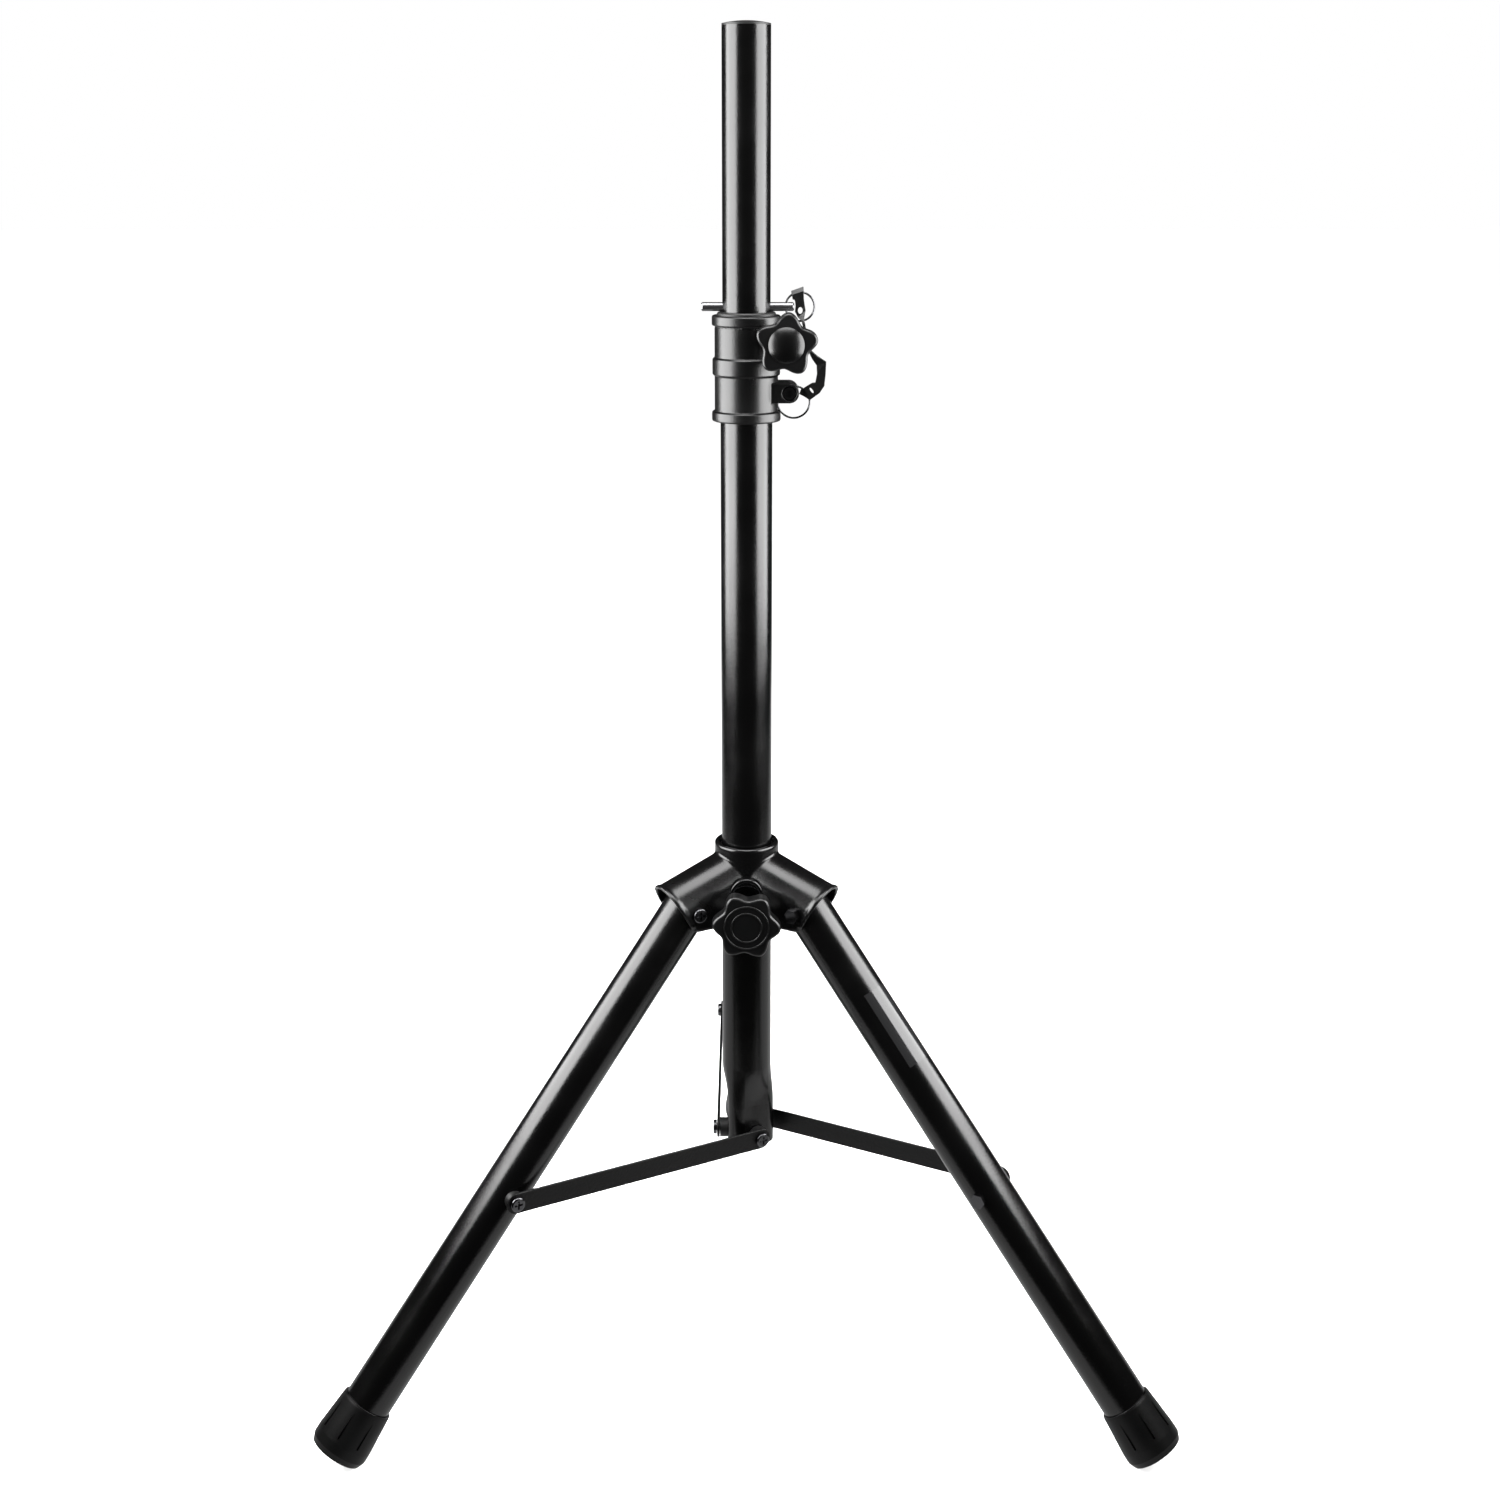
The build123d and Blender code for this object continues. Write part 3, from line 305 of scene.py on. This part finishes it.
for name, piece in nodes.items():
    piece.data.materials.clear()
    piece.data.materials.append(FINISHES[slot_of[name]])
    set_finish(piece, slot_of[name])
print("finished", len(nodes), "nodes with", len(FINISHES), "materials")

# %% [markdown]
# ## Welded and moulded pieces with soft edges
# The hub is pressed and welded steel under a thick coat, so no edge on it is sharp, and its arms run
# into the ring in a smooth hollow. Bevelling the engineering solid would need every seam of it
# cleaned up first. It is quicker, and nearer to how a coat behaves, to merge a copy of the node,
# rebuild its skin from small cubes with a Remesh modifier and let a Smooth modifier round it.


# %% A helper that adds a modifier and applies it
def apply(piece, kind, **settings):
    """Add a modifier, set it and apply it."""
    bpy.context.view_layer.objects.active = piece
    modifier = piece.modifiers.new(kind.lower(), kind)
    for name, value in settings.items():
        setattr(modifier, name, value)
    bpy.ops.object.modifier_apply(modifier=modifier.name)


# %% A helper that copies a node, rebuilds its skin and rounds it
def soft_copy(node, name, cube, rounds, keep=1.0):
    """cube is the new skin's grid, rounds how often it is smoothed, keep the share of faces left."""
    bpy.ops.object.select_all(action="DESELECT")
    piece = nodes[node].copy()
    piece.data = nodes[node].data.copy()
    piece.name = name
    piece.parent = None
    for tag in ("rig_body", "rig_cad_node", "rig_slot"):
        if tag in piece:
            del piece[tag]
    bpy.context.scene.collection.objects.link(piece)
    bpy.context.view_layer.objects.active = piece
    piece.select_set(True)
    bpy.ops.object.mode_set(mode="EDIT")
    bpy.ops.mesh.select_all(action="SELECT")
    bpy.ops.mesh.remove_doubles(threshold=0.01 * MM)
    bpy.ops.object.mode_set(mode="OBJECT")
    apply(piece, "REMESH", mode="VOXEL", voxel_size=cube)
    apply(piece, "SMOOTH", factor=0.5, iterations=rounds)
    apply(piece, "DECIMATE", ratio=keep)
    bpy.ops.object.shade_smooth()
    piece.select_set(False)
    print(name, "has", len(piece.data.polygons), "faces")
    return piece


# %% The hub and the collar
hub = soft_copy("hub_shell", "hub_pressing", 0.9 * MM, 5, keep=0.6)
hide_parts("hub_shell")
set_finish(hub, "hub_coat")
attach(hub, "hub")

collar = soft_copy("collar", "collar_casting", 0.5 * MM, 4, keep=0.55)
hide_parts("collar")
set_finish(collar, "collar_coat")
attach(collar, "pole")

# %% [markdown]
# ## Arch over the hub's screw
# The screw of the hub's knob enters through a short arch of thicker steel, welded to the front of
# the pressing, and its rounded lip shows above the knob. An arch is half a tube whose two lower
# edges are drawn straight down, so the lower faces of a cylinder are deleted, the edges that this
# leaves are extruded, and Solidify and Bevel make the wall and its lip.

# %% Bend the arch
ARCH_RADIUS = 12.9 * MM
ARCH_MIDDLE_Z = 0.3842
ARCH_FRONT_Y = -0.0312
ARCH_BACK_Y = -0.0215
ARCH_LEG = 14 * MM
ARCH_WALL = 3.4 * MM
ARCH_LIP = 1.5 * MM


def make_arch():
    """Half a tube with its two edges drawn straight down, as thick steel with a rounded lip."""
    bpy.ops.object.select_all(action="DESELECT")
    bpy.ops.mesh.primitive_cylinder_add(
        vertices=96, radius=ARCH_RADIUS, depth=ARCH_BACK_Y - ARCH_FRONT_Y, end_fill_type="NOTHING",
        location=(0, (ARCH_FRONT_Y + ARCH_BACK_Y) / 2, ARCH_MIDDLE_Z), rotation=(pi / 2, 0, 0),
    )
    arch = bpy.context.active_object
    arch.name = "hub_screw_arch"
    bpy.ops.object.transform_apply()
    bpy.ops.object.mode_set(mode="EDIT")
    bpy.ops.mesh.select_mode(type="FACE")
    bpy.ops.mesh.select_all(action="DESELECT")
    bpy.ops.object.mode_set(mode="OBJECT")
    for face in arch.data.polygons:
        face.select = face.center.z < ARCH_MIDDLE_Z
    bpy.ops.object.mode_set(mode="EDIT")
    bpy.ops.mesh.delete(type="FACE")
    bpy.ops.mesh.select_mode(type="EDGE")
    bpy.ops.object.mode_set(mode="OBJECT")
    for edge in arch.data.edges:
        ends = [arch.data.vertices[index].co for index in edge.vertices]
        edge.select = all(end.z < ARCH_MIDDLE_Z + 0.01 * MM for end in ends)
    bpy.ops.object.mode_set(mode="EDIT")
    bpy.ops.mesh.extrude_edges_move(TRANSFORM_OT_translate={"value": (0, 0, -ARCH_LEG)})
    bpy.ops.mesh.select_all(action="SELECT")
    bpy.ops.mesh.normals_make_consistent(inside=False)
    bpy.ops.object.mode_set(mode="OBJECT")
    apply(arch, "SOLIDIFY", thickness=ARCH_WALL, offset=-1)
    apply(arch, "BEVEL", width=ARCH_LIP, segments=4, limit_method="ANGLE", angle_limit=radians(50))
    bpy.ops.object.shade_smooth_by_angle(angle=radians(35))
    return arch


arch = make_arch()
arch.data.materials.append(FINISHES["hub_coat"])
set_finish(arch, "hub_coat")
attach(arch, "hub")
print("arch top at", round(ARCH_MIDDLE_Z + ARCH_RADIUS, 4), "m,", len(arch.data.polygons), "faces")

# %% [markdown]
# ## Rings on the hub knob's face
# The mould leaves two fine raised rings on the flat face of the hub's knob. The engineering solid
# does not show them clearly, so each is a ring of its own, flattened along the knob's axis.

# %% Press the rings flat on the face
RING_RADII = (11.3 * MM, 16.5 * MM)
RING_WIRE = 0.55 * MM
RING_BEHIND_FACE = 0.1 * MM
RING_FLATTENING = 0.6


def make_knob_rings():
    """Both rings in one mesh, pressed flat in the knob's face."""
    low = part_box("hub_knob_body")[0]
    face_y = low.y + RING_BEHIND_FACE
    middle = centre_of("hub_knob_screw")
    bpy.ops.object.select_all(action="DESELECT")
    rings = []
    for radius in RING_RADII:
        bpy.ops.mesh.primitive_torus_add(
            major_radius=radius, minor_radius=RING_WIRE, major_segments=96, minor_segments=12,
            location=(middle.x, face_y, middle.z), rotation=(pi / 2, 0, 0),
        )
        rings.append(bpy.context.active_object)
    for ring in rings:
        ring.select_set(True)
    bpy.ops.object.join()
    bpy.context.active_object.name = "hub_knob_rings"
    bpy.ops.object.transform_apply()
    bpy.ops.object.mode_set(mode="EDIT")
    bpy.ops.mesh.select_all(action="SELECT")
    bpy.ops.transform.resize(value=(1, RING_FLATTENING, 1))
    bpy.ops.object.mode_set(mode="OBJECT")
    bpy.ops.object.shade_smooth()
    return bpy.context.active_object


knob_rings = make_knob_rings()
knob_rings.data.materials.append(FINISHES["knob_plastic"])
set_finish(knob_rings, "knob_plastic")
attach(knob_rings, "hub_knob")
print("rings on the knob", len(knob_rings.data.polygons), "faces")

# %% [markdown]
# ## Beads on the feet
# Each rubber foot ends in a rolled bead where the leg enters it, which keeps the mouth from
# splitting and catches the light. Its place is measured on the foot's own mesh, as the point that
# lies least far down the leg, and a ring is added there for each leg in turn.

# %% Directions of a leg
LEG_TILT = radians(38.84)
LEG_RADIUS = 17.5 * MM
LEG_APEX = Vector((0, 0, 0.439))


def leg_directions(azimuth):
    """The way down a leg, and the two directions across it: level, and up and outward."""
    out = Vector((cos(azimuth), sin(azimuth), 0))
    down = out * sin(LEG_TILT) - Vector((0, 0, cos(LEG_TILT)))
    upward = out * cos(LEG_TILT) + Vector((0, 0, sin(LEG_TILT)))
    return down, down.cross(upward), upward


# %% Roll a bead on each foot
BEAD_OUTSIDE_LEG = 0.95 * MM
BEAD_BELOW_MOUTH = 0.45 * MM
BEAD_WIRE = 0.6 * MM


def make_bead(side):
    """One ring round the mouth of a foot, which rides on that leg."""
    down = leg_directions(LEGS[side])[0]
    foot = nodes["foot_" + side].data
    mouth = min((vertex.co - LEG_APEX).dot(down) for vertex in foot.vertices)
    bpy.ops.object.select_all(action="DESELECT")
    bpy.ops.mesh.primitive_torus_add(
        major_radius=LEG_RADIUS + BEAD_OUTSIDE_LEG, minor_radius=BEAD_WIRE,
        major_segments=96, minor_segments=12,
        location=LEG_APEX + down * (mouth + BEAD_BELOW_MOUTH),
        rotation=down.to_track_quat("Z", "Y").to_euler(),
    )
    bead = bpy.context.active_object
    bead.name = "foot_bead_" + side
    bpy.ops.object.mode_set(mode="EDIT")
    bpy.ops.mesh.select_all(action="SELECT")
    bpy.ops.mesh.subdivide(number_cuts=1)
    bpy.ops.object.mode_set(mode="OBJECT")
    bpy.ops.object.transform_apply()
    bpy.ops.object.shade_smooth()
    bead.data.materials.append(FINISHES["knob_plastic"])
    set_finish(bead, "rubber")
    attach(bead, side + "_leg")
    print(bead.name, "at", round(mouth, 4), "m down the leg")


for side in LEGS:
    make_bead(side)

# %% [markdown]
# ## Tether strap
# A thin plastic strap keeps the lock pin from getting lost. Its top is folded over the pin's ring,
# it turns edge-on behind the clamp knob, bends sharply twice and ends in a slotted paddle on the
# collar's ring. A curve with a flat section would twist wrongly at the sharp bends, so a short edge
# is extruded from station to station, and each new edge is turned and stretched about its middle.

# %% Stations of the strap: middle, width and how far its face is turned from the front
STRAP_STATIONS = [
    ((37.6, 1.9, 829.5), 8.0, 0),
    ((37.1, 1.8, 834.0), 8.8, -12),
    ((36.9, 0.2, 837.0), 9.4, -20),
    ((37.2, -1.7, 834.4), 8.8, -18),
    ((38.4, -2.0, 829.0), 6.6, -5),
    ((38.9, -2.0, 825.4), 6.8, 0),
    ((39.0, -2.0, 821.6), 7.8, 8),
    ((39.7, -2.0, 817.6), 5.6, 25),
    ((41.3, -2.0, 813.4), 6.0, 80),
    ((43.6, -2.0, 803.0), 6.0, 88),
    ((46.0, -2.0, 793.0), 6.0, 75),
    ((49.6, -2.0, 788.2), 6.2, 50),
    ((54.6, -2.0, 783.6), 7.6, 12),
    ((54.6, -2.0, 776.0), 6.4, 4),
    ((53.6, -2.0, 768.6), 7.2, 0),
    ((50.6, -2.0, 765.8), 9.4, 0),
    ((44.2, -1.9, 761.4), 10.2, 0),
    ((43.2, -1.2, 762.2), 5.6, 0),
    ((39.4, -1.0, 763.6), 5.0, 0),
]
STRAP_THICKNESS = 1.2
FOLD_END = 6
BEND_END = 12


def strap_across(index):
    """The way the strap's width points at a station; up to FOLD_END a turn leans it to the side."""
    turn = radians(STRAP_STATIONS[index][2])
    if index < FOLD_END:
        return Matrix.Rotation(turn, 3, "Y") @ Vector((1, 0, 0))
    before = Vector(STRAP_STATIONS[index - 1][0])
    after = Vector(STRAP_STATIONS[min(index + 1, len(STRAP_STATIONS) - 1)][0])
    run = (after - before).normalized()
    across = Vector((0, 1, 0)).cross(run).normalized()
    return Matrix.Rotation(turn, 3, run) @ across


def edge_ends(index):
    """The two ends of a station's edge; up to BEND_END the second one is to the right or behind."""
    middle = Vector(STRAP_STATIONS[index][0])
    half = strap_across(index) * STRAP_STATIONS[index][1] / 2
    if index < BEND_END and half.x + half.y < 0:
        half = -half
    return middle - half, middle + half


# %% Extrude the strap, one station at a time
def make_strap():
    """A flat ribbon of faces through all the stations, which has no thickness yet."""
    bpy.ops.object.select_all(action="DESELECT")
    bpy.ops.mesh.primitive_plane_add(size=1)
    strap = bpy.context.active_object
    strap.name = "tether_strap_folded"
    bpy.ops.object.mode_set(mode="EDIT")
    bpy.ops.mesh.select_mode(type="VERT")
    bpy.ops.mesh.select_all(action="DESELECT")
    bpy.ops.object.mode_set(mode="OBJECT")
    corners = strap.data.vertices
    first = edge_ends(0)
    second = edge_ends(1)
    for corner, place in zip(corners, (first[0], first[1], second[0], second[1])):
        corner.co = place * MM
    for index in range(2, len(STRAP_STATIONS)):
        for vertex in strap.data.vertices:
            vertex.select = vertex.index >= len(strap.data.vertices) - 2
        bpy.ops.object.mode_set(mode="EDIT")
        bpy.ops.mesh.select_mode(type="EDGE")
        bpy.ops.mesh.extrude_edges_move()
        bpy.ops.mesh.select_mode(type="VERT")
        bpy.ops.object.mode_set(mode="OBJECT")
        for vertex, place in zip(strap.data.vertices[-2:], edge_ends(index)):
            vertex.co = place * MM
    return strap


strap = make_strap()
print("strap stations", len(STRAP_STATIONS), "vertices", len(strap.data.vertices))


# %% Thickness, rounded bends, the oval hole and the slot
STRAP_BEND = 0.25 * MM
PUNCH_DEPTH = 5 * MM
RING_HOLE = {"middle": (39.0, -2.0, 822.0), "half": (1.7, 2.4), "turn": 0}
PADDLE_SLOT = {"middle": (47.6, -2.0, 764.0), "half": (0.8, 2.3), "turn": radians(-35)}


def punch(piece, middle, half, turn):
    """Cut an oval hole of half sizes (x, z) in millimetres, turned about the front-to-back axis."""
    bpy.ops.mesh.primitive_cylinder_add(vertices=32, radius=1, depth=PUNCH_DEPTH)
    cutter = bpy.context.active_object
    cutter.scale = (half[0] * MM, half[1] * MM, 1)
    cutter.rotation_euler = (pi / 2, turn, 0)
    cutter.location = Vector(middle) * MM
    bpy.context.view_layer.update()
    apply(piece, "BOOLEAN", operation="DIFFERENCE", object=cutter, solver="EXACT")
    bpy.data.objects.remove(cutter)


apply(strap, "SOLIDIFY", thickness=STRAP_THICKNESS * MM, offset=0)
apply(strap, "BEVEL", width=STRAP_BEND, segments=2, limit_method="ANGLE", angle_limit=radians(50))
punch(strap, **RING_HOLE)
punch(strap, **PADDLE_SLOT)
print("strap has", len(strap.data.polygons), "faces")
strap.data.materials.append(FINISHES["strap_plastic"])
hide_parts("tether_strap")
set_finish(strap, "strap_plastic")
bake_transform(strap)

# %% [markdown]
# ## Blank label
# A printed film label wraps a quarter of the right leg below the hub. It is a blank one here. A film
# this thin could be an image on the leg, but a piece of its own keeps its raised edge and its
# smoother gloss: a short tube is added round the leg, all but its front faces are deleted, and
# Solidify gives it a thickness.

# %% Wrap the film round the leg
LABEL_FROM = 0.162
LABEL_TO = 0.224
LABEL_ANGLES = (radians(35), radians(103))
LABEL_GAP = 0.02 * MM
LABEL_THICKNESS = 0.12 * MM


def make_label():
    """A film round the front of the right leg, cut from a short tube."""
    down, level, upward = leg_directions(LEGS["right"])
    if level.y > 0:
        level = -level
    bpy.ops.object.select_all(action="DESELECT")
    bpy.ops.mesh.primitive_cylinder_add(
        vertices=144, radius=LEG_RADIUS + LABEL_GAP, depth=LABEL_TO - LABEL_FROM,
        end_fill_type="NOTHING", location=LEG_APEX + down * (LABEL_FROM + LABEL_TO) / 2,
        rotation=down.to_track_quat("Z", "Y").to_euler(),
    )
    film = bpy.context.active_object
    film.name = "blank_label"
    bpy.ops.object.transform_apply()
    bpy.ops.object.mode_set(mode="EDIT")
    bpy.ops.mesh.select_mode(type="FACE")
    bpy.ops.mesh.select_all(action="DESELECT")
    bpy.ops.object.mode_set(mode="OBJECT")
    for face in film.data.polygons:
        angle = atan2(face.normal.dot(upward), face.normal.dot(level))
        face.select = not LABEL_ANGLES[0] < angle < LABEL_ANGLES[1]
    bpy.ops.object.mode_set(mode="EDIT")
    bpy.ops.mesh.delete(type="FACE")
    bpy.ops.object.mode_set(mode="OBJECT")
    apply(film, "SOLIDIFY", thickness=LABEL_THICKNESS, offset=1)
    bpy.ops.object.shade_smooth_by_angle(angle=radians(40))
    return film


label = make_label()
label.data.materials.append(FINISHES["label_film"])
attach(label, "right_leg")
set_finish(label, "powder_coat")
print("label has", len(label.data.polygons), "faces")

# %% [markdown]
# ## Studio
# Black gloss shows nothing but what it mirrors. Two soft boxes stand close by, one each side and a
# little in front, and draw the two long strips on the pole, and the dark space between them keeps
# its middle black. A third box, overhead and a little in front, picks out every lip that faces up.
# A glowing card lies under and behind the stand. It is never seen itself, but the gloss of the
# lower legs mirrors it. The floor is plain and pale.


# %% Soft boxes
def soft_box(name, azimuth, distance, middle_z, width, height, radiance, aim_z):
    """An area light that faces the pole; azimuth 0 is the front and 90 the stand's left as seen."""
    a = radians(azimuth)
    data = bpy.data.lights.new(name, "AREA")
    data.shape = "RECTANGLE"
    data.size = width
    data.size_y = height
    data.energy = radiance * pi * width * height
    light = bpy.data.objects.new(name, data)
    light.location = (-sin(a) * distance, -cos(a) * distance, middle_z)
    aim = Vector((0, 0, aim_z)) - light.location
    light.rotation_euler = aim.to_track_quat("-Z", "Y").to_euler()
    light.visible_camera = False
    bpy.context.scene.collection.objects.link(light)
    return light


SIDE_HEIGHT = 0.83
soft_box("left_box", 77, 0.66, SIDE_HEIGHT, width=0.76, height=0.82, radiance=12.5, aim_z=SIDE_HEIGHT)
soft_box("right_box", -77, 0.66, SIDE_HEIGHT, width=0.72, height=0.82, radiance=11.5, aim_z=SIDE_HEIGHT)
soft_box("top_box", 0, 0.3, middle_z=1.75, width=1.1, height=0.8, radiance=9, aim_z=0.4)
print("soft boxes placed")


# %% Floor, and the glowing card that only reflections see
SHEET_ROUGHNESS = 0.9
FLOOR_SIZE = 60
FLOOR_GREY = 0.9
CARD_SIZE = 2.3
CARD_GREY = 0.2
CARD_GLOW = 0.7


def flat_sheet(name, size, grey):
    """A plain square sheet at floor level that belongs to the studio, not to the stand."""
    bpy.ops.mesh.primitive_plane_add(size=size)
    sheet = bpy.context.active_object
    sheet.name = name
    paint = bpy.data.materials.new(name)
    paint.use_nodes = True
    paint.node_tree.nodes["Principled BSDF"].inputs["Base Color"].default_value = (grey, grey, grey, 1)
    paint.node_tree.nodes["Principled BSDF"].inputs["Roughness"].default_value = SHEET_ROUGHNESS
    sheet.data.materials.append(paint)
    return sheet


floor = flat_sheet("floor", FLOOR_SIZE, FLOOR_GREY)
floor.location.z = -0.0002
floor.visible_glossy = False
floor.visible_diffuse = False
card = flat_sheet("card", CARD_SIZE, CARD_GREY)
card.location = (0, 0.8, -0.0004)
card.visible_camera = False
card.visible_shadow = False
card_paint = card.data.materials[0].node_tree.nodes["Principled BSDF"]
card_paint.inputs["Emission Color"].default_value = (1, 1, 1, 1)
card_paint.inputs["Emission Strength"].default_value = CARD_GLOW
print("floor and card laid")

# %% A sun for the floor alone
SUN_STRENGTH = 3.6
sun_data = bpy.data.lights.new("floor_light", "SUN")
sun_data.energy = SUN_STRENGTH
sun_data.angle = radians(70)
sun_data.use_shadow = False
sun = bpy.data.objects.new("floor_light", sun_data)
bpy.context.scene.collection.objects.link(sun)
only_floor = bpy.data.collections.new("only_floor")
only_floor.objects.link(floor)
sun.light_linking.receiver_collection = only_floor

# %% A world that is white behind the stand and nearly dark in its reflections
BACKDROP_STRENGTH = 1.0
ROOM_STRENGTH = 0.03
world = bpy.data.worlds.new("studio")
bpy.context.scene.world = world
world.use_nodes = True
sky = world.node_tree
sky.nodes.clear()
sky_out = sky.nodes.new("ShaderNodeOutputWorld")
sky_mix = sky.nodes.new("ShaderNodeMixShader")
seen = sky.nodes.new("ShaderNodeBackground")
seen.inputs["Strength"].default_value = BACKDROP_STRENGTH
seen.inputs["Color"].default_value = (1, 1, 1, 1)
room = sky.nodes.new("ShaderNodeBackground")
room.inputs["Color"].default_value = (1, 1, 1, 1)
room.inputs["Strength"].default_value = ROOM_STRENGTH
ray = sky.nodes.new("ShaderNodeLightPath")
sky.links.new(ray.outputs["Is Camera Ray"], sky_mix.inputs[0])
sky.links.new(room.outputs[0], sky_mix.inputs[1])
sky.links.new(seen.outputs[0], sky_mix.inputs[2])
sky.links.new(sky_mix.outputs[0], sky_out.inputs[0])
print("world has", len(sky.nodes), "nodes")

# %% Camera
camera_data = bpy.data.cameras.new("camera")
camera_data.sensor_width = 36
camera_data.lens = 45.93
camera_data.shift_y = -0.1148
camera = bpy.data.objects.new("camera", camera_data)
camera.location = (0.0026, -1.3975, 0.9217)
camera.rotation_euler = (radians(90 - 12.04), 0, 0)
bpy.context.scene.collection.objects.link(camera)
bpy.context.scene.camera = camera
bpy.context.scene.view_settings.view_transform = "Standard"
print("camera", round(-camera.location.y, 2), "m in front and", round(camera.location.z, 2), "m up")
